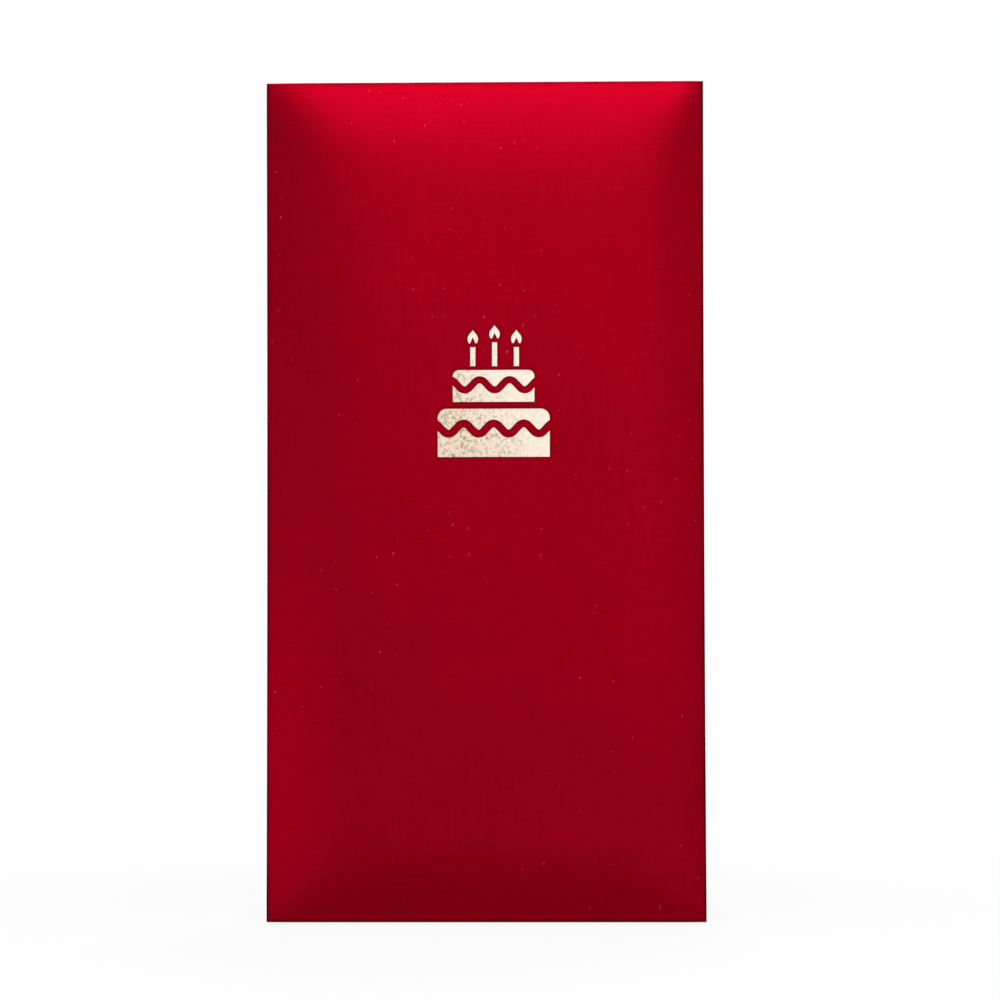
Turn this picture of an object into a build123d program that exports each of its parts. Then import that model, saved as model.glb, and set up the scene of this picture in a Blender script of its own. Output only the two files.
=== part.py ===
from build123d import *
import os
from math import ceil, sqrt

# A padded satin money envelope: a cushioned front with a foil cake, a narrow spine over
# the top, a flap on the back held by magnets, and a pocket with a folded gusset each side.
# Millimetres. X runs across the front, Y from the front to the flap, and Z up. The
# envelope stands on its bottom edge, with the middle of its outer box above the origin.

os.makedirs("parts", exist_ok=True)

# Front panel
panel_width = 90.0
panel_height = 172.5
padding_crown = 3.0
padding_rim = 0.37
crown_roll = 16.0

# Sheet thicknesses
satin = 0.3
lining = 0.2
leaf = 0.3
foil = 0.08
front_board_thickness = 1.2
back_board_thickness = 1.0
flap_board_thickness = 0.8

# Overlaps and clearances
turn_in = 11.0
lining_margin = 3.0
back_inset = 0.6
padding_ease = 0.1
fold_ease = 0.1
flap_ease = 0.3
leaf_ease = 0.15
overrun = 1.0

# Pocket and its gussets
pocket_gap = 1.4
mouth_drop = 16.0
gusset_margin = 2.0
gusset_width = 15.0
gusset_start = 4.0
gusset_setback = 1.5

# Flap and its magnets
flap_length = 56.0
flap_taper = 4.0
flap_corner = 8.0
flap_turn_in_share = 0.75
magnet_diameter = 10.0
magnet_rise = 13.0

# Foil cake
cake_shift = 1.82
cake_base = 95.03
topping_shift = 0.22
wave_pitch = 6.15
wave_reach = 1.62
wave_round = 1.3
lower_width = 22.9
lower_height = 9.86
lower_corner = 1.85
lower_wave_rise = 5.8
lower_icing_gap = 1.64
tier_gap = 1.4
upper_width = 16.7
upper_height = 6.53
upper_corner = 1.3
upper_wave_rise = 3.5
upper_icing_gap = 1.48
candle_gap = 0.79
candle_width = 1.04
candle_pitch = 4.46
side_candle = 3.89
middle_candle = 4.87
flame_gap = 0.82
flame_width = 2.12
flame_height = 2.68
flame_belly_share = 0.3
flame_shoulder_share = 0.86
flame_shoulder_rise_share = 0.57
flame_foot_share = 0.76
wick_share = 0.5
wick_depth_share = 0.44

# Roll of the front: the crown falls over its width from the full sponge to the rim
crown_drop = padding_crown - padding_rim
crown_radius = (crown_roll**2 + crown_drop**2) / (2 * crown_drop)

# Depths, counted from the front of the foil to the back of the flap
crown_depth = foil + satin + padding_ease + padding_crown
front_depth = crown_depth + front_board_thickness + satin + lining
back_depth = lining + satin + back_board_thickness + satin
flap_depth = lining + satin + flap_board_thickness + satin
envelope_depth = front_depth + pocket_gap + back_depth + flap_ease + flap_depth

crest = foil - envelope_depth / 2
front_board_face = crown_depth - envelope_depth / 2
front_board_back = front_board_face + front_board_thickness
front_turned = front_board_back + satin
front_inside = front_turned + lining
back_inside = front_inside + pocket_gap
back_turned = back_inside + lining
back_board_face = back_turned + satin
back_board_back = back_board_face + back_board_thickness
back_outside = back_board_back + satin
flap_inside = back_outside + flap_ease
flap_turned = flap_inside + lining
flap_board_face = flap_turned + satin
flap_board_back = flap_board_face + flap_board_thickness
flap_outside = flap_board_back + satin

# Heights and widths that several pieces share
strip = satin + lining
fold_radius = strip / 2
back_width = panel_width - 2 * back_inset
back_bottom = strip + fold_ease
mouth = panel_height - mouth_drop
flap_top = panel_height - strip - fold_ease
flap_tip = flap_top - flap_length
magnet_height = flap_tip + magnet_rise
gusset_bottom = back_bottom + gusset_start
gusset_top = mouth - gusset_setback
gusset_slope = gusset_width / (gusset_top - fold_radius)


def facing(depth):
    """Plane at a depth, with X across and Z up, whose extrusions come forward."""
    return Plane.XZ.offset(-depth)


def crown_section(span, roll, radius, back, crown):
    """Pad seen end on: flat at the back, with a flat crown that rolls off at both sides."""
    side = back - crown + radius - sqrt(radius**2 - roll**2)
    with BuildSketch() as section:
        with BuildLine():
            Polyline((0, back - crown), (0, back), (span / 2, back), (span / 2, side))
            Line((0, back - crown), (span / 2 - roll, back - crown))
            TangentArc((span / 2 - roll, back - crown), (span / 2, side), tangent=(1, 0))
        make_face()
        mirror(about=Plane.YZ)
    return section.sketch


def crowned_block(inset, ease, back):
    """Pillow that rolls off on all four sides, set in from the outside of the front satin."""
    width = panel_width - 2 * inset
    height = panel_height - 2 * inset
    crown = back - crest - inset - ease
    across = crown_section(width, crown_roll - inset, crown_radius - inset, back, crown)
    along = crown_section(height, crown_roll - inset, crown_radius - inset, back, crown)
    middle = Plane(origin=(0, 0, panel_height / 2), x_dir=(0, 0, 1), z_dir=(-1, 0, 0))
    with BuildPart() as block:
        with BuildSketch(Plane.XY.offset(inset)):
            add(across)
        extrude(amount=height)
        with BuildSketch(middle):
            add(along)
        extrude(amount=width / 2, both=True, mode=Mode.INTERSECT)
    return block.part


def upright(width, bottom, top):
    """Rectangle across the middle of the envelope between two heights."""
    with BuildSketch() as outline:
        with Locations((0, bottom)):
            Rectangle(width, top - bottom, align=(Align.CENTER, Align.MIN))
    return outline.sketch


def flap_outline(inset):
    """Flap with tapered sides and two round corners, set in from its edge."""
    wide = back_width / 2
    narrow = wide - flap_taper
    with BuildSketch() as outline:
        with BuildLine():
            Polyline(
                (-wide, flap_top),
                (wide, flap_top),
                (narrow, flap_tip),
                (-narrow, flap_tip),
                close=True,
            )
        make_face()
        if inset:
            offset(amount=-inset, kind=Kind.INTERSECTION, mode=Mode.REPLACE)
        fillet(outline.vertices().group_by(Axis.Y)[0], radius=flap_corner - inset)
    return outline.sketch


def magnet_outline():
    """Disc on the middle line at the height where flap and back panel hold each other."""
    with BuildSketch() as outline:
        with Locations((0, magnet_height)):
            Circle(magnet_diameter / 2)
    return outline.sketch


def cake_tier(width, bottom, height, corner, wave_middle, wave_level, middle_lift, icing_gap):
    """Cake tier with round top corners, parted by a wavy line into its body and its icing."""
    turns = ceil(width / wave_pitch) + 1
    turning_points = [
        (
            wave_middle + step * wave_pitch / 2,
            wave_level + middle_lift * (-1) ** step * wave_reach,
        )
        for step in range(-turns, turns + 1)
    ]
    with BuildSketch() as tier:
        with Locations((cake_shift, bottom)):
            Rectangle(width, height, align=(Align.CENTER, Align.MIN))
        fillet(tier.vertices().group_by(Axis.Y)[-1], radius=corner)
        with BuildLine():
            FilletPolyline(*turning_points, radius=wave_round)
            offset(amount=icing_gap / 2, side=Side.BOTH, mode=Mode.REPLACE)
        make_face(mode=Mode.SUBTRACT)
    return tier.faces().sort_by(Axis.Y)


def candle_row(bottom, places, heights):
    """Upright candles side by side on one level."""
    with BuildSketch() as row:
        for place, height in zip(places, heights):
            with Locations((place, bottom)):
                Rectangle(candle_width, height, align=(Align.CENTER, Align.MIN))
    return row.sketch


def flame_row(bottom, places, heights):
    """Teardrop flames above the candles, each with a notch for the wick at its foot."""
    half = flame_width / 2
    belly = (half, flame_height * flame_belly_share)
    shoulder = (half * flame_shoulder_share, flame_height * flame_shoulder_rise_share)
    tip = (0, flame_height)
    foot = (half * flame_foot_share, 0)
    wick = (half * wick_share, 0)
    with BuildSketch() as flame:
        with BuildLine():
            Line(tip, shoulder)
            TangentArc(belly, shoulder, tangent=(0, 1))
            TangentArc(belly, foot, tangent=(0, -1))
            Polyline(foot, wick, (0, flame_height * wick_depth_share), tip)
        make_face()
        mirror(about=Plane.YZ)
    with BuildSketch() as row:
        for place, height in zip(places, heights):
            with Locations((place, bottom + height + flame_gap)):
                add(flame.sketch)
    return row.sketch


# Front panel
front_outside = crowned_block(0, 0, front_turned)
front_inner = crowned_block(satin, 0, front_board_back)
front_pad = crowned_block(satin, padding_ease, front_board_face)
front_core = upright(panel_width - 2 * satin, satin, panel_height - satin)
front_window = upright(panel_width - 2 * turn_in, turn_in, panel_height - turn_in)
front_paper = upright(
    panel_width - 2 * lining_margin, lining_margin, panel_height - lining_margin
)

with BuildPart() as front_satin:
    add(front_outside)
    add(front_inner, mode=Mode.SUBTRACT)
    with BuildSketch(facing(front_turned + overrun)):
        add(front_window)
    extrude(amount=satin + 2 * overrun, mode=Mode.SUBTRACT)
front_satin.part.label = "front_satin"

with BuildPart() as front_padding:
    add(front_pad)
front_padding.part.label = "front_padding"

with BuildPart() as front_board:
    with BuildSketch(facing(front_board_back)):
        add(front_core)
    extrude(amount=front_board_thickness)
front_board.part.label = "front_board"

with BuildPart() as front_lining:
    with BuildSketch(facing(front_inside)):
        add(front_paper)
    extrude(amount=lining)
front_lining.part.label = "front_lining"

# Foil cake
upper_base = cake_base + lower_height + tier_gap
candle_base = upper_base + upper_height + candle_gap
topping_middle = cake_shift + topping_shift
candle_places = [topping_middle + step * candle_pitch for step in (-1, 0, 1)]
candle_heights = (side_candle, middle_candle, side_candle)
lower_body, lower_topping = cake_tier(
    lower_width,
    cake_base,
    lower_height,
    lower_corner,
    cake_shift,
    cake_base + lower_wave_rise,
    1,
    lower_icing_gap,
)
upper_body, upper_topping = cake_tier(
    upper_width,
    upper_base,
    upper_height,
    upper_corner,
    topping_middle,
    upper_base + upper_wave_rise,
    -1,
    upper_icing_gap,
)

foil_pieces = []
for foil_name, foil_shape in (
    ("foil_lower_tier", lower_body),
    ("foil_lower_icing", lower_topping),
    ("foil_upper_tier", upper_body),
    ("foil_upper_icing", upper_topping),
    ("foil_candles", candle_row(candle_base, candle_places, candle_heights)),
    ("foil_flames", flame_row(candle_base, candle_places, candle_heights)),
):
    with BuildPart() as foil_piece:
        with BuildSketch(facing(crest)):
            add(foil_shape)
        extrude(amount=foil)
    foil_piece.part.label = foil_name
    foil_pieces.append(foil_piece)

# Creases that the spine, the flap and the back panel turn on
folds = []
for fold_name, fold_depth, fold_height in (
    ("top_fold", front_turned + fold_ease + fold_radius, panel_height - fold_radius),
    ("flap_fold", flap_inside + fold_radius, panel_height - fold_radius),
    ("bottom_fold", back_outside - fold_radius, fold_radius),
):
    with BuildPart() as fold:
        with BuildSketch(Plane.YZ):
            with Locations((fold_depth, fold_height)):
                Circle(fold_radius)
        extrude(amount=back_width / 2, both=True)
    fold.part.label = fold_name
    folds.append(fold)

# Strip under the pocket
bottom_back = back_outside - strip - fold_ease
bottom_strip = upright(back_width, 0, satin)
bottom_paper = upright(back_width, satin, strip)

with BuildPart() as bottom_satin:
    with BuildSketch(facing(bottom_back)):
        add(bottom_strip)
    extrude(amount=bottom_back - front_turned)
bottom_satin.part.label = "bottom_satin"

with BuildPart() as bottom_lining:
    with BuildSketch(facing(bottom_back)):
        add(bottom_paper)
    extrude(amount=bottom_back - front_turned)
bottom_lining.part.label = "bottom_lining"

# Spine over the top, between the crease on the front panel and the crease on the flap
spine_front = front_turned + fold_ease + strip + fold_ease
spine_back = flap_inside - fold_ease
spine_strip = upright(back_width, panel_height - satin, panel_height)
spine_paper = upright(back_width, panel_height - strip, panel_height - satin)

with BuildPart() as spine_satin:
    with BuildSketch(facing(spine_back)):
        add(spine_strip)
    extrude(amount=spine_back - spine_front)
spine_satin.part.label = "spine_satin"

with BuildPart() as spine_lining:
    with BuildSketch(facing(spine_back)):
        add(spine_paper)
    extrude(amount=spine_back - spine_front)
spine_lining.part.label = "spine_lining"

# Flap
magnet_disc = magnet_outline()
flap_edge = flap_outline(0)
flap_core = flap_outline(satin)
flap_paper = flap_outline(lining_margin)
flap_window = flap_outline(flap_corner * flap_turn_in_share)

with BuildPart() as flap_satin:
    with BuildSketch(facing(flap_outside)):
        add(flap_edge)
    extrude(amount=flap_outside - flap_turned)
    with BuildSketch(facing(flap_board_back)):
        add(flap_core)
    extrude(amount=flap_board_thickness, mode=Mode.SUBTRACT)
    with BuildSketch(facing(flap_board_face)):
        add(flap_window)
    extrude(amount=satin + overrun, mode=Mode.SUBTRACT)
flap_satin.part.label = "flap_satin"

with BuildPart() as flap_board:
    with BuildSketch(facing(flap_board_back)):
        add(flap_core)
        add(magnet_disc, mode=Mode.SUBTRACT)
    extrude(amount=flap_board_thickness)
flap_board.part.label = "flap_board"

with BuildPart() as flap_magnet:
    with BuildSketch(facing(flap_board_back)):
        add(magnet_disc)
    extrude(amount=flap_board_thickness)
flap_magnet.part.label = "flap_magnet"

with BuildPart() as flap_lining:
    with BuildSketch(facing(flap_turned)):
        add(flap_paper)
    extrude(amount=lining)
flap_lining.part.label = "flap_lining"

# Back panel
back_edge = upright(back_width, back_bottom, mouth)
back_core = upright(back_width - 2 * satin, back_bottom + satin, mouth - satin)
back_window = upright(back_width - 2 * turn_in, back_bottom + turn_in, mouth - turn_in)
back_paper = upright(
    back_width - 2 * lining_margin, back_bottom + lining_margin, mouth - lining_margin
)

with BuildPart() as back_satin:
    with BuildSketch(facing(back_outside)):
        add(back_edge)
    extrude(amount=back_outside - back_turned)
    with BuildSketch(facing(back_board_back)):
        add(back_core)
    extrude(amount=back_board_thickness, mode=Mode.SUBTRACT)
    with BuildSketch(facing(back_board_face)):
        add(back_window)
    extrude(amount=satin + overrun, mode=Mode.SUBTRACT)
back_satin.part.label = "back_satin"

with BuildPart() as back_board:
    with BuildSketch(facing(back_board_back)):
        add(back_core)
        add(magnet_disc, mode=Mode.SUBTRACT)
    extrude(amount=back_board_thickness)
back_board.part.label = "back_board"

with BuildPart() as back_magnet:
    with BuildSketch(facing(back_board_back)):
        add(magnet_disc)
    extrude(amount=back_board_thickness)
back_magnet.part.label = "back_magnet"

with BuildPart() as back_lining:
    with BuildSketch(facing(back_turned)):
        add(back_paper)
    extrude(amount=lining)
back_lining.part.label = "back_lining"

# Gussets: each side has two paper leaves, one hinged on the front and one on the back
gusset_leaves = []
for side, side_name in ((-1, "left"), (1, "right")):
    hinge = side * (panel_width / 2 - gusset_margin)
    low_edge = hinge - side * gusset_slope * (gusset_bottom - fold_radius)
    high_edge = hinge - side * gusset_width
    for leaf_name, leaf_depth in (
        ("front", front_inside + leaf_ease + leaf / 2),
        ("back", back_inside - leaf_ease - leaf / 2),
    ):
        with BuildPart() as gusset_leaf:
            with BuildSketch(facing(leaf_depth + leaf / 2)):
                with BuildLine():
                    Polyline(
                        (hinge, gusset_bottom),
                        (low_edge, gusset_bottom),
                        (high_edge, gusset_top),
                        (hinge, gusset_top),
                        close=True,
                    )
                make_face()
            extrude(amount=leaf)
            with BuildSketch(Plane.XY.offset(gusset_bottom)):
                with Locations((hinge, leaf_depth)):
                    Circle(leaf / 2)
            extrude(amount=gusset_top - gusset_bottom)
        gusset_leaf.part.label = f"{side_name}_gusset_{leaf_name}_leaf"
        gusset_leaves.append(gusset_leaf)

pieces = [
    front_satin,
    front_padding,
    front_board,
    front_lining,
    *foil_pieces,
    *folds,
    bottom_satin,
    bottom_lining,
    spine_satin,
    spine_lining,
    flap_satin,
    flap_board,
    flap_magnet,
    flap_lining,
    back_satin,
    back_board,
    back_magnet,
    back_lining,
    *gusset_leaves,
]
for piece in pieces:
    export_step(piece.part, f"parts/{piece.part.label}.step")
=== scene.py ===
"""Looks of a padded satin money envelope with a cake stamped in foil.

Metres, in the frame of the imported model: X runs across the front, the front faces -Y and
Z is up. The satin covers, the satin that crosses the folds, the sponge pad and the gusset
paper are modelled here. Foil, boards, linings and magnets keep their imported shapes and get
finished materials.
"""

from collections import Counter
from math import atan, ceil, cos, pi, radians, sin

import bpy
import numpy as np
from mathutils import Matrix, Vector
from mathutils.kdtree import KDTree


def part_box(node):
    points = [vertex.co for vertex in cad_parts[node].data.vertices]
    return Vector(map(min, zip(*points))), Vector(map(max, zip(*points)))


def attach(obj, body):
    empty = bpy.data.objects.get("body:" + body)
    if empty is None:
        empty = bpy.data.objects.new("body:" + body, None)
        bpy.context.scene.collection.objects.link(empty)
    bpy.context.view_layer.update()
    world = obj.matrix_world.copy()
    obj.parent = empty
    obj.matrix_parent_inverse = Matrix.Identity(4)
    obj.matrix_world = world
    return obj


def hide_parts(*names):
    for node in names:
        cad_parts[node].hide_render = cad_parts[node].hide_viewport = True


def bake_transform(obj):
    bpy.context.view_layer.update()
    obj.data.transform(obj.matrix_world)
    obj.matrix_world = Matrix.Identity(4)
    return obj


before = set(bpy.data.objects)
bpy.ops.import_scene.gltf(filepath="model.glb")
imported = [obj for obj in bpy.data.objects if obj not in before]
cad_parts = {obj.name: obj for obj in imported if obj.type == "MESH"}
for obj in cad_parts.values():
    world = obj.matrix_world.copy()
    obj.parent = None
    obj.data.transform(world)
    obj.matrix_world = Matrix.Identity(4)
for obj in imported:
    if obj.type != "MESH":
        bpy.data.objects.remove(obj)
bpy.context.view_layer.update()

# Satin covers and how they are wrapped
SATIN = 0.0003
EDGE_RADIUS = 0.0006
BACK_RADIUS = 0.0004
TURN_IN = 0.011
ROLL_STEPS = 6
BEND_STEPS = 18
WALL_STEPS = 4
TURN_STEPS = 2

# Painted shade along the edges: how far it comes onto the face, its strength where the edge starts,
# and the share of the wall behind the edge over which it fades
EDGE_SHADE_REACH = 0.0006
EDGE_SHADE_ON_FACE = 0.22
EDGE_SHADE_WALL_SHARE = 0.5

# Crown of the front: how far in from each edge the sponge rolls off, how fast, and how deep
LEFT_ROLL = 0.0374
RIGHT_ROLL = 0.0323
TOP_ROLL = 0.0490
BOTTOM_ROLL = 0.0156
LEFT_POWER = 2.39
RIGHT_POWER = 3.5
TOP_POWER = 3.37
BOTTOM_POWER = 1.32
RIM_DROP = 0.0026
HIP_SOFTNESS = 0.38
WAIST = 0.00015

# Spacing of grid lines at the edges, on the front's face, round the stamp and on the boards,
# its growth with distance, and the number of places at which it is added up
EDGE_STEP = 0.00018
FACE_STEP = 0.0014
STAMP_STEP = 0.0003
STAMP_MARGIN = 0.0008
BOARD_STEP = 0.0025
STEP_GROWTH = 0.16
SPACING_PLACES = 6000

# Groove that the stamping die leaves round the foil, and how squarely the foil's face looks out
GROOVE_WIDTH = 0.0005
GROOVE_DEPTH = 0.00003
OUTLINE_STEP = 0.0001
FACING_OUT = 0.9

# Sponge pad under the front cover
PAD_EASE = 0.0001
PAD_SETBACK = 0.0009

# Flap outline and the turn-in of its cover
FLAP_TAPER = 0.004
FLAP_CORNER = 0.008
FLAP_TURN_IN = 0.006
CORNER_STEPS = 12

# Satin strips that cross the folds: thickness, inset at the sides, hidden tails and bends
STRIP = 0.00015
STRIP_INSET = 0.0002
STRIP_TAIL = 0.009
TAIL_SETBACK = 0.002
STRIP_COLUMNS = 60
INNER_BEND = 0.0003
OUTER_BEND = 0.001
TUCK = 0.00024
STRIP_STEP = 0.00012

# Gusset paper: thickness, the tab on the panel, the inner crease and its lap at the mouth
GUSSET = 0.0002
GUSSET_TAB = 0.0009
GUSSET_CREASE = 0.00012
GUSSET_LAP = 0.00025
GUSSET_ROWS = 60
GUSSET_COLUMNS = 6

# Satin colours: darker and lighter floats, painted shade at the edges and in the groove, lint,
# sheen
FLOAT_DARK = (0.250, 0.0004, 0.0076, 1)
FLOAT_LIGHT = (0.290, 0.0005, 0.0087, 1)
EDGE_SHADE_RED = (0.055, 0.0002, 0.002, 1)
GROOVE_SHADE_RED = (0.06, 0.0002, 0.002, 1)
LINT_PINK = (0.55, 0.045, 0.075, 1)
SHEEN_TINT = (1, 0.01, 0.05, 1)

# Satin surface: grains per metre along X, Y and Z, reliefs, and the way its sheen is drawn out
UPRIGHT_SLUBS = (1700, 1700, 170)
LEVEL_SLUBS = (170, 170, 1700)
SATIN_CLOUDS = (45, 45, 45)
EDGE_SHADE_PATCHES = (260, 260, 120)
SATIN_FUZZ = (800, 800, 800)
FLOAT_RELIEF = 0.00003
SLUB_RELIEF = 0.00006
FUZZ_RELIEF = 0.00003
SHEEN_DIRECTION = (0.0, 0.3, 1.0)

# Satin weave in millimetres: length and width of a float, the gap between two and their stagger
MILLIMETRES = (1000, 1000, 1000)
FLOAT_LENGTH = 0.9
FLOAT_WIDTH = 0.15
FLOAT_GAP = 0.035
STAGGER_SHARE = 0.4

# Lint: specks per metre, the grain and reach of their ragged edges, their stretch and drifts
LINT_CELLS = 270
LINT_GRAIN = 2600
LINT_REACH = (0.0004, 0.0004, 0.0004)
LINT_STRETCH = (1, 1, 0.6)
LINT_DRIFTS = (28, 28, 28)

# Foil colours: two pale tints, two warm ones, rosy flecks, painted dark reflections in its pits,
# painted glints
FOIL_PALE = ((0.88, 0.755, 0.645, 1), (0.85, 0.765, 0.63, 1))
FOIL_WARM = ((0.82, 0.665, 0.53, 1), (0.79, 0.675, 0.515, 1))
FOIL_ROSE = (0.85, 0.63, 0.55, 1)
FOIL_DARK_REFLECTION = (0.38, 0.27, 0.165, 1)
FOIL_GLINT = (0.88, 0.80, 0.71, 1)

# Foil surface: grains per metre, the pits' depth, and the way it grows warmer with more painted
# dark reflections
TINT_GRAIN = (650, 650, 650)
FLECK_GRAIN = (420, 420, 420)
PIT_GRAIN = (1700, 1700, 1300)
PATCH_GRAIN = (300, 300, 300)
GLINT_GRAIN = (2200, 2200, 2200)
PIT_RELIEF = 0.00004
FOIL_LEAN = Vector((-1.0, 0.0, -0.6))

# Paper, board, sponge and magnet: darker and lighter tones, grains per metre and reliefs
PAPER_TONES = ((0.26, 0.005, 0.012, 1), (0.36, 0.008, 0.017, 1))
PAPER_FIBRES = 900
BOARD_TONES = ((0.18, 0.17, 0.15, 1), (0.34, 0.32, 0.29, 1))
BOARD_FIBRES = 700
FIBRE_STRETCH = 0.3
FIBRE_RELIEF = 0.00003
SPONGE_TONES = ((0.45, 0.44, 0.41, 1), (0.85, 0.84, 0.8, 1))
SPONGE_CELLS = 2200
CELL_RELIEF = 0.0001
MAGNET_TONES = ((0.16, 0.16, 0.17, 1), (0.34, 0.34, 0.35, 1))
MAGNET_SCUFFS = (1800, 300, 1800)
SCUFF_RELIEF = 0.00002

# Camera fitted to the four corners in the photograph
CAMERA_PLACE = (0.01892, -0.68540, 0.06277)
CAMERA_PITCH = radians(1.973)
CAMERA_YAW = radians(1.334)
CAMERA_ROLL = radians(0.127)
CAMERA_LENS = 120
CAMERA_SENSOR = 36

# Soft light: level and colour of the surroundings, and each lamp's place, size and power
FILL = 0.06
WHITE = (1, 1, 1, 1)
KEY_PLACE = (0.002, -0.231, 0.593)
KEY_SIZE = (0.258, 0.798)
KEY_POWER = 4.95
LEFT_PLACE = (-0.112, -0.147, 0.022)
LEFT_SIZE = (0.076, 0.04)
LEFT_LAMP_POWER = 0.034
RIGHT_PLACE = (0.130, -0.252, 0.095)
RIGHT_SIZE = (0.157, 0.157)
RIGHT_LAMP_POWER = 0.1
BACK_PLACE = (0.1, 0.6, 0.3)
BACK_SIZE = (0.5, 0.4)
BACK_POWER = 3.5
LIGHT_AIM = (0.0, 0.0, 0.09)

# Floor: tone and glow near the envelope and far away, the two distances, its drop and its size
FLOOR_TONE = (0.1, 0.0)
FLOOR_GLOW = (0.86, 1.0)
FLOOR_REACH = (0.06, 0.3)
FLOOR_DROP = 0.0002
FLOOR_SIZE = 4.0


def smooth_step(value):
    """Goes from 0 to 1 with level ends."""
    value = np.clip(value, 0, 1)
    return value * value * (3 - 2 * value)


class Graph:
    """Short way to write the nodes of one material."""

    def __init__(self, name):
        """Starts a material of one name with a plain shader."""
        self.material = bpy.data.materials.new(name)
        self.material.use_nodes = True
        self.tree = self.material.node_tree
        self.shader = self.tree.nodes["Principled BSDF"]

    def put(self, socket, value):
        """Links a socket to another one, or sets it to a constant."""
        if isinstance(value, bpy.types.NodeSocket):
            self.tree.links.new(value, socket)
        else:
            socket.default_value = value

    def add(self, kind, inputs=(), **settings):
        """New node of a kind, with its inputs and settings."""
        node = self.tree.nodes.new(kind)
        for key, value in settings.items():
            setattr(node, key, value)
        for key, value in dict(inputs).items():
            self.put(node.inputs[key], value)
        return node

    def math(self, operation, first, second=0.0):
        """Result of an operation on two values."""
        node = self.add("ShaderNodeMath", {0: first, 1: second}, operation=operation)
        return node.outputs[0]

    def ramp(self, value, start, end, low=0.0, high=1.0):
        """Smooth step of a value from low at start to high at end."""
        node = self.add(
            "ShaderNodeMapRange",
            {"Value": value, "From Min": start, "From Max": end, "To Min": low, "To Max": high},
            interpolation_type="SMOOTHSTEP",
        )
        return node.outputs["Result"]

    def mix(self, share, first, second):
        """Colour between two colours, by the second one's share."""
        node = self.add("ShaderNodeMix", data_type="RGBA")
        self.put(node.inputs[0], share)
        self.put(node.inputs[6], first)
        self.put(node.inputs[7], second)
        return node.outputs[2]

    def place(self, scale=(1, 1, 1)):
        """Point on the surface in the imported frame, stretched by a scale along each axis."""
        point = self.add("ShaderNodeTexCoord").outputs["Object"]
        node = self.add("ShaderNodeVectorMath", {0: point, 1: scale}, operation="MULTIPLY")
        return node.outputs[0]

    def noise(self, scale, detail=2.0, roughness=0.5):
        """Noise whose grain along each axis is one over the scale."""
        inputs = {"Vector": self.place(scale), "Scale": 1, "Detail": detail, "Roughness": roughness}
        return self.add("ShaderNodeTexNoise", inputs).outputs[0]

    def attribute(self, name):
        """Value that a mesh stores at its points."""
        return self.add("ShaderNodeAttribute", attribute_name=name).outputs["Fac"]

    def bump(self, height, strength, distance, normal=None):
        """Normal that a relief tilts."""
        inputs = {"Height": height, "Strength": strength, "Distance": distance}
        if normal is not None:
            inputs["Normal"] = normal
        return self.add("ShaderNodeBump", inputs).outputs[0]

    def finish(self, **sockets):
        """Sets the shader's inputs and hands over the material."""
        for key, value in sockets.items():
            self.put(self.shader.inputs[key.replace("_", " ")], value)
        return self.material


def satin_material():
    """Red satin: fine floats, faint slubs, painted shade along its edges and round the foil, pale
    specks of lint.
    """
    g = Graph("red_satin")
    slub = g.math("ADD", g.noise(UPRIGHT_SLUBS), g.noise(LEVEL_SLUBS))
    cloud = g.noise(SATIN_CLOUDS, detail=3)
    red = g.mix(g.ramp(g.math("ADD", slub, cloud), 1.0, 2.0), FLOAT_DARK, FLOAT_LIGHT)
    # Painted shade along the turned edges, deeper in some patches than in others
    shade_patches = g.ramp(g.noise(EDGE_SHADE_PATCHES, detail=3), 0.3, 0.7, low=0.45, high=0.85)
    edge_shade = g.math("MULTIPLY", g.attribute("edge"), shade_patches)
    red = g.mix(edge_shade, red, EDGE_SHADE_RED)
    # Painted shade in the groove that the die presses round the foil
    groove_shade = g.math("MULTIPLY", g.attribute("groove"), 0.35)
    red = g.mix(groove_shade, red, GROOVE_SHADE_RED)
    red = g.mix(lint(g), red, LINT_PINK)
    weave = g.bump(satin_floats(g), 0.08, FLOAT_RELIEF)
    weave = g.bump(slub, 0.12, SLUB_RELIEF, weave)
    weave = g.bump(g.noise(SATIN_FUZZ), 0.1, FUZZ_RELIEF, weave)
    return g.finish(
        Base_Color=red,
        Metallic=0.45,
        Roughness=g.ramp(edge_shade, 0.0, 1.0, low=0.357, high=0.7),
        Anisotropic=0.79,
        Tangent=float_direction(g),
        Normal=weave,
        Specular_IOR_Level=0.0,
        Specular_Tint=SHEEN_TINT,
    )


def float_direction(g):
    """Way that the sheen is drawn out: up the cloth, and over the top and bottom edges."""
    settings = {"vector_type": "VECTOR", "convert_from": "OBJECT", "convert_to": "WORLD"}
    return g.add("ShaderNodeVectorTransform", {0: SHEEN_DIRECTION}, **settings).outputs[0]


def satin_floats(g):
    """Height of the weave: long floats side by side, each dipping where it is tied down."""
    point = g.add("ShaderNodeSeparateXYZ", {0: g.place(MILLIMETRES)})
    across = g.math("ADD", point.outputs["X"], point.outputs["Y"])
    along = g.add("ShaderNodeCombineXYZ", {0: point.outputs["Z"], 1: across}).outputs[0]
    sizes = {
        "Vector": along,
        "Scale": 1,
        "Mortar Size": FLOAT_GAP,
        "Mortar Smooth": 1,
        "Brick Width": FLOAT_LENGTH,
        "Row Height": FLOAT_WIDTH,
    }
    floats = g.add("ShaderNodeTexBrick", sizes, offset=STAGGER_SHARE, offset_frequency=2)
    return g.math("SUBTRACT", 1.0, floats.outputs["Fac"])


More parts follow.
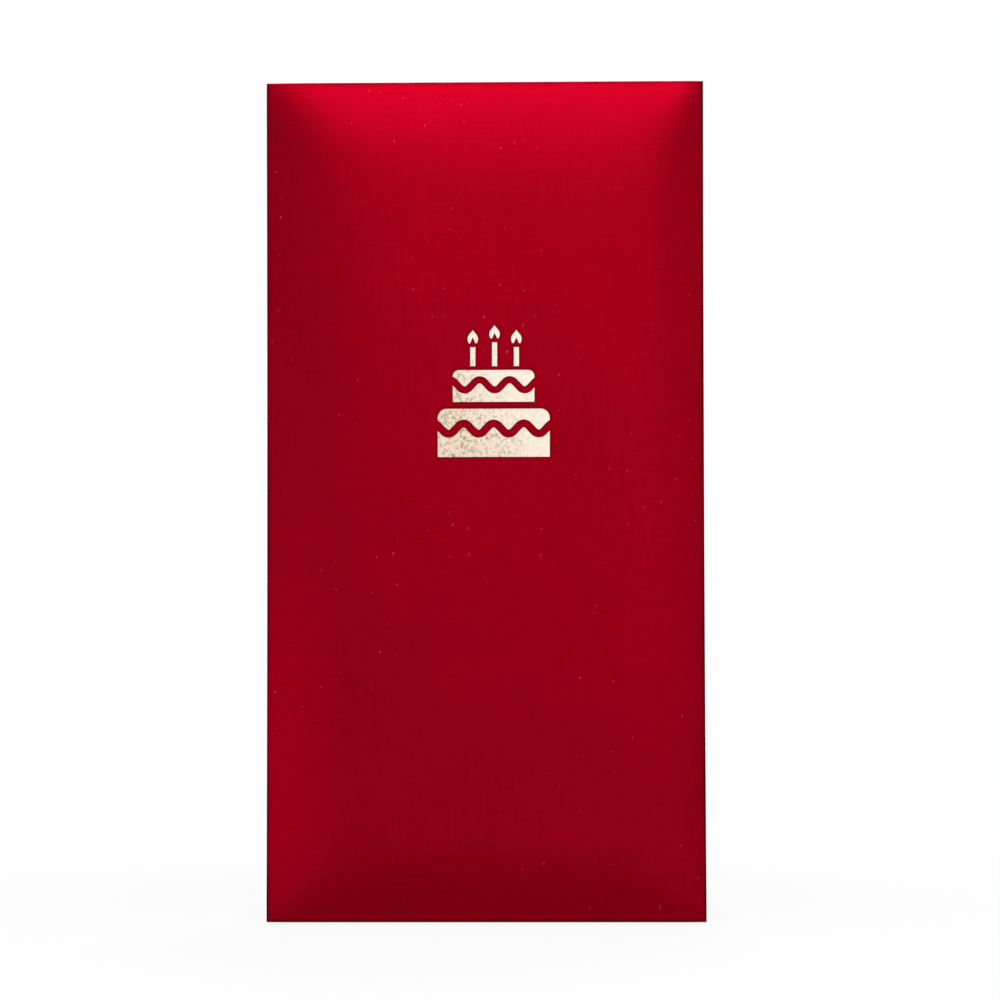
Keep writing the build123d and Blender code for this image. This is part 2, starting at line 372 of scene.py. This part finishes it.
def lint(g):
    """Small ragged specks, one in some of the cells of a scattered pattern, thicker in drifts."""
    grain = {"Vector": g.place(), "Scale": LINT_GRAIN, "Detail": 1}
    ragged = g.add("ShaderNodeTexNoise", grain).outputs["Color"]
    reach = {0: ragged, 1: LINT_REACH, 2: g.place(LINT_STRETCH)}
    point = g.add("ShaderNodeVectorMath", reach, operation="MULTIPLY_ADD").outputs[0]
    point = g.add("ShaderNodeSeparateXYZ", {0: point})
    across = g.math("ADD", point.outputs["X"], point.outputs["Y"])
    up = g.math("ADD", point.outputs["Z"], point.outputs["Y"])
    flat = g.add("ShaderNodeCombineXYZ", {0: across, 1: up}).outputs[0]
    pattern = {"Vector": flat, "Scale": LINT_CELLS}
    cells = g.add("ShaderNodeTexVoronoi", pattern, voronoi_dimensions="2D")
    kind = g.add("ShaderNodeSeparateColor", {0: cells.outputs["Color"]})
    size = g.ramp(kind.outputs[1], 0.0, 1.0, low=0.015, high=0.045)
    speck = g.ramp(g.math("DIVIDE", cells.outputs["Distance"], size), 0.6, 1.0, low=1, high=0)
    drift = g.ramp(g.noise(LINT_DRIFTS, detail=1), 0.35, 0.65, low=0.15, high=0.75)
    shown = g.ramp(g.math("MULTIPLY", kind.outputs[0], drift), 0.15, 0.7, high=0.9)
    return g.math("MULTIPLY", speck, shown)


def foil_material():
    """Champagne foil: pale at the top right; warmer, with more painted dark reflections in its
    pits, at the lower left.
    """
    g = Graph("champagne_foil")
    low, high = (Vector(corner) for corner in foil_box())
    place = {0: g.place(), 1: FOIL_LEAN}
    lean = g.add("ShaderNodeVectorMath", place, operation="DOT_PRODUCT").outputs["Value"]
    lean = g.ramp(lean, high.dot(FOIL_LEAN), low.dot(FOIL_LEAN))
    tint = g.ramp(g.noise(TINT_GRAIN, detail=1), 0.40, 0.60)
    pale, warm = g.mix(tint, *FOIL_PALE), g.mix(tint, *FOIL_WARM)
    base = g.mix(g.ramp(lean, 0.4, 0.95), pale, warm)
    rosy = g.ramp(g.noise(FLECK_GRAIN), 0.55, 0.70, high=0.4)
    base = g.mix(rosy, base, FOIL_ROSE)
    # Painted dark reflections: the colour darkens in the foil's pits, more towards the lower left
    grain = g.noise(PIT_GRAIN, detail=3, roughness=0.6)
    pits = g.ramp(grain, 0.36, 0.56, low=1, high=0)
    patches = g.ramp(g.noise(PATCH_GRAIN), 0.35, 0.6, low=0.5)
    dark_reflections = g.math("MULTIPLY", pits, patches)
    dark_reflections = g.math("MULTIPLY", dark_reflections, g.ramp(lean, 0.3, 0.9, low=0.15))
    base = g.mix(dark_reflections, base, FOIL_DARK_REFLECTION)
    # Painted glints: paler specks mixed into the foil's colour
    glint = g.ramp(g.noise(GLINT_GRAIN, detail=1), 0.64, 0.74)
    base = g.mix(glint, base, FOIL_GLINT)
    return g.finish(
        Base_Color=base,
        Metallic=0.5,
        Roughness=g.ramp(grain, 0.3, 0.7, low=0.55, high=0.4),
        Normal=g.bump(grain, 0.3, PIT_RELIEF),
    )


def paper_material(name, tones, count):
    """Uncoated paper or board, by its tones and its count of fibres per metre."""
    g = Graph(name)
    fibres = g.noise((count, count, count * FIBRE_STRETCH), detail=4, roughness=0.65)
    return g.finish(
        Base_Color=g.mix(g.ramp(fibres, 0.3, 0.7), *tones),
        Roughness=0.85,
        Specular_IOR_Level=0.15,
        Normal=g.bump(fibres, 0.2, FIBRE_RELIEF),
    )


def sponge_material():
    """White open-cell sponge."""
    g = Graph("white_sponge")
    pattern = {"Vector": g.place(), "Scale": SPONGE_CELLS}
    cells = g.add("ShaderNodeTexVoronoi", pattern).outputs["Distance"]
    return g.finish(
        Base_Color=g.mix(g.ramp(cells, 0.1, 0.6), *SPONGE_TONES),
        Roughness=0.95,
        Normal=g.bump(cells, 0.6, CELL_RELIEF),
    )


def magnet_material():
    """Grey sintered magnet, faintly scuffed."""
    g = Graph("magnet")
    scuff = g.noise(MAGNET_SCUFFS, detail=4, roughness=0.6)
    return g.finish(
        Base_Color=g.mix(g.ramp(scuff, 0.35, 0.65), *MAGNET_TONES),
        Metallic=0.9,
        Roughness=0.45,
        Normal=g.bump(scuff, 0.15, SCUFF_RELIEF),
    )


def spaced_lines(low, high, spacing):
    """Grid lines from low to high whose steps follow a spacing at each place."""
    fine = np.linspace(low, high, SPACING_PLACES)
    steps = np.diff(fine) / spacing((fine[1:] + fine[:-1]) / 2)
    count = np.concatenate([[0], np.cumsum(steps)])
    return np.interp(np.linspace(0, count[-1], ceil(count[-1]) + 1), count, fine)


def edge_spacing(low, high, coarse):
    """Steps that are short at both ends of a span and grow towards its middle."""

    def step(place):
        edge = np.minimum(place - low, high - place)
        return np.clip(EDGE_STEP + edge * STEP_GROWTH, EDGE_STEP, coarse)

    return step


def board_lines(low, high, setback):
    """Grid lines across and up a flat board, from a setback at its edges."""
    return [
        spaced_lines(
            low[axis] + setback,
            high[axis] - setback,
            edge_spacing(low[axis], high[axis], BOARD_STEP),
        )
        for axis in (0, 2)
    ]


def grid_faces(index):
    """Four-sided faces between the rows and columns of a grid of point numbers."""
    corners = [index[:-1, :-1], index[:-1, 1:], index[1:, 1:], index[1:, :-1]]
    return np.stack(corners, -1).reshape(-1, 4)


def ring_faces(inner, outer):
    """Faces between two closed rings of point numbers."""
    return np.stack([inner, outer, np.roll(outer, -1), np.roll(inner, -1)], 1)


def edge_loop(index):
    """Point numbers along a grid's outline, anticlockwise as seen from -Y."""
    return np.concatenate([index[0, :-1], index[:-1, -1], index[-1, :0:-1], index[:0:-1, 0]])


def outward(points):
    """Mitred directions out of a closed outline in X and Z."""
    step = np.roll(points, -1, 0) - points
    step /= np.linalg.norm(step, axis=1)[:, None]
    after = np.stack([step[:, 1], -step[:, 0]], 1)
    before = np.roll(after, 1, 0)
    return (before + after) / (1 + (before * after).sum(1))[:, None]


def set_in(outline, distance):
    """Closed outline drawn in from all sides, so that its corners move along mitres."""
    low, high = outline.min(0), outline.max(0)
    middle, half = (low + high) / 2, (high - low) / 2
    return middle + (outline - middle) * (1 - distance / half)


def wrap_rings(rim, back, turn_in):
    """Rings of a wrapped sheet past its face: how far out and how deep each is, and its painted
    edge shade.
    """
    away = np.sign(back - rim[0])
    rings = []
    for share in np.linspace(0, 1, ROLL_STEPS + 1)[1:]:
        angle = share * pi / 2
        depth = rim + away * EDGE_RADIUS * (1 - cos(angle))
        edge_shade = EDGE_SHADE_ON_FACE + (1 - EDGE_SHADE_ON_FACE) * sin(angle)
        rings.append((EDGE_RADIUS * sin(angle), depth, edge_shade))
    start, end = rim + away * EDGE_RADIUS, np.full_like(rim, back - away * BACK_RADIUS)
    for share in np.linspace(0, 1, WALL_STEPS + 1)[1:]:
        edge_shade = 1 - smooth_step(share / EDGE_SHADE_WALL_SHARE)
        rings.append((EDGE_RADIUS, start + share * (end - start), edge_shade))
    for share in np.linspace(0, 1, ROLL_STEPS + 1)[1:]:
        angle = share * pi / 2
        out = EDGE_RADIUS - BACK_RADIUS * (1 - cos(angle))
        rings.append((out, end + away * BACK_RADIUS * sin(angle), 0))
    for share in np.linspace(0, 1, TURN_STEPS + 1)[1:]:
        out = EDGE_RADIUS - BACK_RADIUS - share * turn_in
        rings.append((out, np.full_like(rim, back), 0))
    return rings


def face_edge_shade(face):
    """Painted edge shade on a face grid, which fades with the distance in from its outline."""
    x, z = face[..., 0], face[..., 2]
    inside = [x - x[:, :1], x[:, -1:] - x, z - z[:1], z[-1:] - z]
    return EDGE_SHADE_ON_FACE * (1 - smooth_step(np.min(inside, 0) / EDGE_SHADE_REACH)).ravel()


def wrapped_sheet(name, face, back, turn_in):
    """Mesh of a sheet that covers a face grid, goes round its edges and turns in behind."""
    points = face.reshape(-1, 3)
    index = np.arange(len(points)).reshape(face.shape[:2])
    loop = edge_loop(index)
    outline = points[loop][:, [0, 2]]
    directions = outward(outline)
    layers, edge_shades, faces = [points], [face_edge_shade(face)], [grid_faces(index)]
    inner, count = loop, len(points)
    for out, depth, edge_shade in wrap_rings(points[loop][:, 1], back, turn_in):
        flat = outline + directions * out if out > 0 else set_in(outline, -out)
        layers.append(np.stack([flat[:, 0], depth, flat[:, 1]], 1))
        edge_shades.append(np.full(len(loop), edge_shade))
        outer = count + np.arange(len(loop))
        faces.append(ring_faces(inner, outer))
        inner, count = outer, count + len(loop)
    faces = np.concatenate(faces)
    if back < points[loop[0], 1]:
        faces = faces[:, ::-1]
    sheet = mesh_piece(name, np.concatenate(layers), faces)
    put_attribute(sheet, "edge", np.concatenate(edge_shades))
    return sheet


def mesh_piece(name, points, faces):
    """New smooth mesh object."""
    mesh = bpy.data.meshes.new(name)
    mesh.from_pydata(points.tolist(), [], faces.tolist())
    mesh.update()
    mesh.shade_smooth()
    corners = np.zeros(len(mesh.loops), np.int32)
    mesh.loops.foreach_get("edge_index", corners)
    mesh.edges.foreach_set("use_edge_sharp", np.bincount(corners, minlength=len(mesh.edges)) == 1)
    piece = bpy.data.objects.new(name, mesh)
    bpy.context.scene.collection.objects.link(piece)
    return piece


def put_attribute(piece, name, values):
    """Stores a value at each point of a mesh for its material."""
    attribute = piece.data.attributes.new(name, "FLOAT", "POINT")
    attribute.data.foreach_set("value", values.astype(np.float32))


def read_points(piece):
    """Points of a mesh as rows of X, Y and Z."""
    points = np.zeros(len(piece.data.vertices) * 3, np.float32)
    piece.data.vertices.foreach_get("co", points)
    return points.reshape(-1, 3)


def write_points(piece, points):
    """Moves the points of a mesh to new places."""
    piece.data.vertices.foreach_set("co", points.ravel())
    piece.data.update()


def thicken(piece, thickness, offset):
    """Gives a sheet its thickness: behind its face for offset -1, and on both sides for 0."""
    solid = piece.modifiers.new("thickness", "SOLIDIFY")
    solid.thickness = thickness
    solid.offset = offset


def finish_satin(piece, thickness, *nodes):
    """Gives a sheet its thickness behind its shown face and its cloth, and hides the imported nodes
    it stands for.
    """
    thicken(piece, thickness, -1)
    piece.data.materials.append(satin)
    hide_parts(*nodes)


def rolled(distance, roll, power):
    """Share of the crown that is reached at a distance in from an edge."""
    return 1 - np.clip(1 - distance / roll, 0, 1) ** power


def front_depth(x, z, low, high):
    """Depth of the front's face at a place: four rolls that meet on soft hips."""
    sides = np.minimum(
        rolled(x - low.x, LEFT_ROLL, LEFT_POWER), rolled(high.x - x, RIGHT_ROLL, RIGHT_POWER)
    )
    ends = np.minimum(
        rolled(high.z - z, TOP_ROLL, TOP_POWER), rolled(z - low.z, BOTTOM_ROLL, BOTTOM_POWER)
    )
    lean = np.clip(0.5 + 0.5 * (ends - sides) / HIP_SOFTNESS, 0, 1)
    soft = ends * (1 - lean) + sides * lean - HIP_SOFTNESS * lean * (1 - lean)
    return low.y + RIM_DROP * (1 - soft / (1 - HIP_SOFTNESS / 4))


def drawn_in(points, low, high):
    """Points with the long edges pulled in a little between the corners."""
    middle, half = (low.z + high.z) / 2, (high.z - low.z) / 2
    waist = 1 - ((points[..., 2] - middle) / half) ** 2
    points[..., 0] *= 1 - WAIST / high.x * waist
    return points


def foil_nodes():
    """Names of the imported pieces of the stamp."""
    return [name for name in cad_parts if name.startswith("foil_")]


def foil_box():
    """Lowest and highest corner of the whole stamp."""
    boxes = [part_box(name) for name in foil_nodes()]
    return np.min([tuple(b[0]) for b in boxes], 0), np.max([tuple(b[1]) for b in boxes], 0)


def foil_outline():
    """Places close together along every outline of the foil, in X and Z."""
    places = []
    for name in foil_nodes():
        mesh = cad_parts[name].data
        front = [face for face in mesh.polygons if face.normal.y < -FACING_OUT]
        uses = Counter(key for face in front for key in face.edge_keys)
        for key, count in uses.items():
            if count > 1:
                continue
            start, end = (mesh.vertices[number].co for number in key)
            steps = ceil((end - start).length / OUTLINE_STEP)
            places += [start.lerp(end, step / steps) for step in range(steps)]
    tree = KDTree(len(places))
    for number, place in enumerate(places):
        tree.insert((place.x, 0, place.z), number)
    tree.balance()
    return tree


def stamp_groove(points):
    """How deep the groove round the foil is at each point, from 0 to 1."""
    stamp_low, stamp_high = foil_box()
    inside = (points > stamp_low - STAMP_MARGIN) & (points < stamp_high + STAMP_MARGIN)
    near = np.nonzero(inside[:, 0] & inside[:, 2])[0]
    tree = foil_outline()
    groove = np.zeros(len(points))
    for number in near:
        x, _, z = points[number]
        groove[number] = np.exp(-((tree.find((x, 0, z))[2] / GROOVE_WIDTH) ** 2))
    return groove


def front_grid(low, high):
    """Face of the front cover as a grid, with close lines at the edges and round the stamp."""
    stamp_low, stamp_high = foil_box()

    def spacing(axis):
        at_edges = edge_spacing(low[axis], high[axis], FACE_STEP)

        def step(place):
            off = np.maximum(stamp_low[axis] - place, place - stamp_high[axis]) - STAMP_MARGIN
            return np.minimum(
                at_edges(place), np.clip(STAMP_STEP + off * STEP_GROWTH, STAMP_STEP, FACE_STEP)
            )

        return step

    across = spaced_lines(low.x + EDGE_RADIUS, high.x - EDGE_RADIUS, spacing(0))
    up = spaced_lines(low.z + EDGE_RADIUS, high.z - EDGE_RADIUS, spacing(2))
    x, z = np.meshgrid(across, up)
    return np.stack([x, front_depth(x, z, low, high), z], -1)


def front_cover():
    """Satin over the cushioned front, pressed down round the foil."""
    low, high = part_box("front_satin")
    cover = wrapped_sheet("front_cover", front_grid(low, high), high.y, TURN_IN)
    points = drawn_in(read_points(cover), low, high)
    groove = stamp_groove(points) * (points[:, 1] < low.y + RIM_DROP / 2)
    points[:, 1] += GROOVE_DEPTH * groove
    write_points(cover, points)
    put_attribute(cover, "groove", groove)
    finish_satin(cover, SATIN, "front_satin")
    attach(cover, "front_panel")


def front_pad():
    """Sponge under the front cover: flat on the board, crowned in front."""
    low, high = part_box("front_satin")
    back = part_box("front_padding")[1].y
    x, z = np.meshgrid(*board_lines(low, high, PAD_SETBACK))
    front = np.stack([x, front_depth(x, z, low, high) + SATIN + PAD_EASE, z], -1)
    rear = np.stack([x, np.full_like(x, back), z], -1)
    points = np.concatenate([front.reshape(-1, 3), rear.reshape(-1, 3)])
    index = np.arange(x.size).reshape(x.shape)
    loop = edge_loop(index)
    wall = ring_faces(loop, loop + x.size)
    faces = np.concatenate([grid_faces(index), grid_faces(index + x.size)[:, ::-1], wall])
    pad = mesh_piece("front_pad", drawn_in(points, low, high), faces)
    pad.data.materials.append(sponge)
    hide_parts("front_padding")
    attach(pad, "front_panel")


def back_cover():
    """Satin over the board of the back panel."""
    low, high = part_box("back_satin")
    x, z = np.meshgrid(*board_lines(low, high, EDGE_RADIUS))
    face = np.stack([x, np.full_like(x, high.y), z], -1)
    cover = wrapped_sheet("back_cover", face, low.y, TURN_IN)
    finish_satin(cover, SATIN, "back_satin")
    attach(cover, "back_panel")


def flap_grid(low, high):
    """Face of the flap as a grid whose sides taper and end in two round corners."""
    top, tip = high.z - EDGE_RADIUS, low.z + EDGE_RADIUS
    wide, corner = high.x - EDGE_RADIUS, FLAP_CORNER - EDGE_RADIUS
    slope = FLAP_TAPER / (high.z - low.z)
    narrow = wide - slope * (top - tip)
    lean = atan(slope)
    centre = narrow + corner * (slope - 1 / cos(lean))
    angles = np.linspace(pi / 2, lean, CORNER_STEPS)
    bend_up = tip + corner * (1 - np.sin(angles))
    bend_half = centre + corner * np.cos(angles)
    straight_up = spaced_lines(bend_up[-1], top, edge_spacing(bend_up[-1], top, BOARD_STEP))[1:]
    up = np.concatenate([bend_up, straight_up])
    half = np.concatenate([bend_half, narrow + (straight_up - tip) * slope])
    shares = spaced_lines(-wide, wide, edge_spacing(-wide, wide, BOARD_STEP)) / wide
    x = half[:, None] * shares[None]
    z = np.repeat(up[:, None], len(shares), 1)
    return np.stack([x, np.full_like(x, high.y), z], -1)


def flap_cover():
    """Satin over the board of the flap."""
    low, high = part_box("flap_satin")
    cover = wrapped_sheet("flap_cover", flap_grid(low, high), low.y, FLAP_TURN_IN)
    finish_satin(cover, SATIN, "flap_satin")
    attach(cover, "flap")


def line(start, end):
    """Points from start to end in depth and height, close together."""
    start, end = np.array(start), np.array(end)
    count = ceil(np.linalg.norm(end - start) / STRIP_STEP)
    return start + np.linspace(0, 1, count + 1)[:, None] * (end - start)


def bend(centre, radius, start, end):
    """Points of an arc in depth and height between two angles in degrees."""
    angles = np.radians(np.linspace(start, end, BEND_STEPS + 1))
    return np.array(centre) + radius * np.stack([np.cos(angles), np.sin(angles)], 1)


def strip(name, half_width, *runs, tail=0):
    """Strip of satin along joined runs in depth and height, of which one is its narrower tail."""
    runs = [runs[0]] + [run[1:] for run in runs[1:]]
    path = np.concatenate(runs)
    half = np.concatenate([np.full(len(run), half_width) for run in runs])
    start = sum(len(run) for run in runs[:tail])
    half[start : start + len(runs[tail])] -= TAIL_SETBACK
    x = half[:, None] * np.linspace(-1, 1, STRIP_COLUMNS + 1)
    y = np.repeat(path[:, :1], STRIP_COLUMNS + 1, 1)
    z = np.repeat(path[:, 1:], STRIP_COLUMNS + 1, 1)
    index = np.arange(x.size).reshape(x.shape)
    piece = mesh_piece(name, np.stack([x, y, z], -1).reshape(-1, 3), grid_faces(index))
    length = np.linalg.norm(np.diff(path, axis=0), axis=1).sum()
    return piece, (2 * half_width, float(length))


def top_strip():
    """Satin from behind the front panel over the top crease to the middle of the spine."""
    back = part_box("front_satin")[1].y
    fold_low, fold_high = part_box("top_fold")
    spine_low, spine_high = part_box("spine_satin")
    top, middle = spine_high.z, (spine_low.y + spine_high.y) / 2
    piece, flat = strip(
        "top_strip",
        fold_high.x - STRIP_INSET,
        line((back, top - STRIP_TAIL), (back, top - INNER_BEND)),
        bend((back + INNER_BEND, top - INNER_BEND), INNER_BEND, 180, 90),
        line((back + INNER_BEND, top), (middle, top)),
    )
    finish_satin(piece, STRIP, "top_fold", "spine_satin")
    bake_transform(piece)


def flap_strip():
    """Satin from the middle of the spine over the flap crease and under the flap's cover."""
    fold_low, fold_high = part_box("flap_fold")
    spine_low, spine_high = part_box("spine_satin")
    top, middle = spine_high.z, (spine_low.y + spine_high.y) / 2
    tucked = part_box("flap_satin")[1].y - TUCK
    turn = tucked - OUTER_BEND
    piece, flat = strip(
        "flap_strip",
        fold_high.x - STRIP_INSET,
        line((middle, top), (turn, top)),
        bend((turn, top - OUTER_BEND), OUTER_BEND, 90, 0),
        line((tucked, top - OUTER_BEND), (tucked, top - STRIP_TAIL)),
        tail=-1,
    )
    finish_satin(piece, STRIP, "flap_fold", "spine_satin")
    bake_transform(piece)


def bottom_strip():
    """Satin from behind the front panel under the pocket and up under the back panel's cover."""
    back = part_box("front_satin")[1].y
    fold_low, fold_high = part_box("bottom_fold")
    low_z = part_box("bottom_satin")[0].z
    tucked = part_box("back_satin")[1].y - TUCK
    turn = tucked - OUTER_BEND
    piece, flat = strip(
        "bottom_strip",
        fold_high.x - STRIP_INSET,
        line((tucked, low_z + STRIP_TAIL), (tucked, low_z + OUTER_BEND)),
        bend((turn, low_z + OUTER_BEND), OUTER_BEND, 0, -90),
        line((turn, low_z), (back + INNER_BEND, low_z)),
        bend((back + INNER_BEND, low_z + INNER_BEND), INNER_BEND, 270, 180),
        line((back, low_z + INNER_BEND), (back, low_z + STRIP_TAIL)),
    )
    finish_satin(piece, STRIP, "bottom_fold", "bottom_satin")
    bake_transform(piece)


def middle_of(name, axis):
    """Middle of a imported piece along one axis."""
    low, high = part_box(name)
    return (low[axis] + high[axis]) / 2


def gusset_section(reach, fold, crease_depth):
    """Gusset paper cut across: distances in from its hinge, and away from its tab."""
    turns = np.linspace(0, pi, BEND_STEPS + 1)
    creases = np.linspace(0, pi / 2, ROLL_STEPS + 1)
    across = np.concatenate([
        np.linspace(GUSSET_TAB, 0, ROLL_STEPS)[:-1],
        -fold * np.sin(turns),
        np.linspace(0, reach, GUSSET_COLUMNS)[1:-1],
        reach + GUSSET_CREASE * np.sin(creases),
        [reach + GUSSET_CREASE],
    ])
    depth = np.concatenate([
        np.zeros(ROLL_STEPS - 1),
        fold * (1 - np.cos(turns)),
        np.full(GUSSET_COLUMNS - 2, 2 * fold),
        2 * fold + GUSSET_CREASE * (1 - np.cos(creases)),
        [crease_depth],
    ])
    return across, depth


def gusset_leaf(side, end, other_end):
    """Gusset leaf: a tab on its panel, a round fold, the leaf and half of the inner crease."""
    node, body = f"{side}_gusset_{end}_leaf", f"{side}_{end}_leaf"
    low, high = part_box(node)
    middle = middle_of(node, 1)
    meeting = (middle + middle_of(f"{side}_gusset_{other_end}_leaf", 1)) / 2
    tab = middle_of(f"{end}_lining", 1)
    outer, inner = (low.x, high.x) if side == "left" else (high.x, low.x)
    inward, away = np.sign(inner - outer), np.sign(meeting - middle)
    hinge = outer + inward * (high.y - low.y) / 2
    fold = abs(middle - tab) / 2
    foot = middle_of("bottom_fold", 2)
    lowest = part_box("bottom_lining")[1].z + GUSSET / 2
    rows = []
    for z in np.linspace(lowest, high.z, GUSSET_ROWS + 1):
        share = (z - foot) / (high.z - foot)
        reach = max(abs(inner - hinge) * share, GUSSET / 2)
        crease_depth = 2 * fold + abs(meeting - middle) + GUSSET_LAP * share
        across, depth = gusset_section(reach, fold, crease_depth)
        x, y = hinge + inward * across, tab + away * depth
        rows.append(np.stack([x, y, np.full_like(depth, z)], 1))
    points = np.array(rows)
    index = np.arange(points.shape[0] * points.shape[1]).reshape(points.shape[:2])
    leaf = mesh_piece(f"{side}_gusset_{end}", points.reshape(-1, 3), grid_faces(index))
    thicken(leaf, GUSSET, 0)
    leaf.data.materials.append(red_paper)
    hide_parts(node)
    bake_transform(leaf)


def camera():
    """Camera that sees the front as the photograph does."""
    data = bpy.data.cameras.new("camera")
    data.lens = CAMERA_LENS
    data.sensor_width = CAMERA_SENSOR
    view = bpy.data.objects.new("camera", data)
    bpy.context.scene.collection.objects.link(view)
    turn = Matrix.Rotation(CAMERA_YAW, 4, "Z") @ Matrix.Rotation(CAMERA_PITCH, 4, "X")
    turn = turn @ Matrix.Rotation(CAMERA_ROLL, 4, "Y") @ Matrix.Rotation(pi / 2, 4, "X")
    view.matrix_world = Matrix.Translation(CAMERA_PLACE) @ turn
    bpy.context.scene.camera = view


def soft_box(name, place, size, power):
    """Rectangular lamp that faces the envelope."""
    data = bpy.data.lights.new(name, "AREA")
    data.shape = "RECTANGLE"
    data.size, data.size_y = size
    data.energy = power
    lamp = bpy.data.objects.new(name, data)
    bpy.context.scene.collection.objects.link(lamp)
    lamp.location = place
    lamp.visible_camera = False
    lamp.rotation_mode = "QUATERNION"
    lamp.rotation_quaternion = (Vector(LIGHT_AIM) - Vector(place)).to_track_quat("-Z", "Y")


def seen_directly(tree):
    """1 for a ray from the camera, a reflection or a transmission, and 0 for lighting."""
    path = tree.nodes.new("ShaderNodeLightPath")
    total = path.outputs["Is Camera Ray"]
    for name in ("Is Glossy Ray", "Is Transmission Ray"):
        node = tree.nodes.new("ShaderNodeMath")
        node.operation = "MAXIMUM"
        tree.links.new(total, node.inputs[0])
        tree.links.new(path.outputs[name], node.inputs[1])
        total = node.outputs[0]
    return total


def studio():
    """White surroundings, a pale floor and soft boxes above, beside and behind the envelope."""
    world = bpy.data.worlds.new("studio")
    bpy.context.scene.world = world
    world.use_nodes = True
    tree = world.node_tree
    level = tree.nodes.new("ShaderNodeMapRange")
    tree.links.new(seen_directly(tree), level.inputs["Value"])
    level.inputs["To Min"].default_value = FILL
    background = tree.nodes["Background"]
    background.inputs["Color"].default_value = WHITE
    tree.links.new(level.outputs["Result"], background.inputs["Strength"])
    soft_box("key", KEY_PLACE, KEY_SIZE, KEY_POWER)
    soft_box("left", LEFT_PLACE, LEFT_SIZE, LEFT_LAMP_POWER)
    soft_box("right", RIGHT_PLACE, RIGHT_SIZE, RIGHT_LAMP_POWER)
    soft_box("back", BACK_PLACE, BACK_SIZE, BACK_POWER)
    floor()


def floor():
    """Pale floor that keeps its shadow near the envelope and goes white further away."""
    bpy.ops.mesh.primitive_plane_add(size=FLOOR_SIZE, location=(0, 0, -FLOOR_DROP))
    plane = bpy.context.object
    plane.name = "floor"
    g = Graph("pale_floor")
    distance = g.add("ShaderNodeVectorMath", {0: g.place()}, operation="LENGTH").outputs["Value"]
    glow = g.ramp(distance, *FLOOR_REACH, *FLOOR_GLOW)
    tone = g.ramp(distance, *FLOOR_REACH, *FLOOR_TONE)
    g.finish(
        Base_Color=tone,
        Roughness=0.9,
        Specular_IOR_Level=0.0,
        Emission_Color=WHITE,
        Emission_Strength=g.math("MULTIPLY", seen_directly(g.tree), glow),
    )
    plane.data.materials.append(g.material)


def node_material(name):
    """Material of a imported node, by the kind of piece that its name says."""
    if name.startswith("foil_"):
        return foil
    if name.endswith("_board"):
        return grey_board
    if name.endswith("_magnet"):
        return magnet
    if name.endswith("_padding"):
        return sponge
    if name.endswith(("_lining", "_leaf")):
        return red_paper
    return satin


satin = satin_material()
foil = foil_material()
red_paper = paper_material("red_paper", PAPER_TONES, PAPER_FIBRES)
grey_board = paper_material("grey_board", BOARD_TONES, BOARD_FIBRES)
sponge = sponge_material()
magnet = magnet_material()

for node_name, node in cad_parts.items():
    node.data.materials.clear()
    node.data.materials.append(node_material(node_name))

front_pad()
front_cover()
back_cover()
flap_cover()
top_strip()
flap_strip()
bottom_strip()
for gusset_side in ("left", "right"):
    gusset_leaf(gusset_side, "front", "back")
    gusset_leaf(gusset_side, "back", "front")
camera()
studio()
bpy.context.scene.view_settings.view_transform = "Standard"
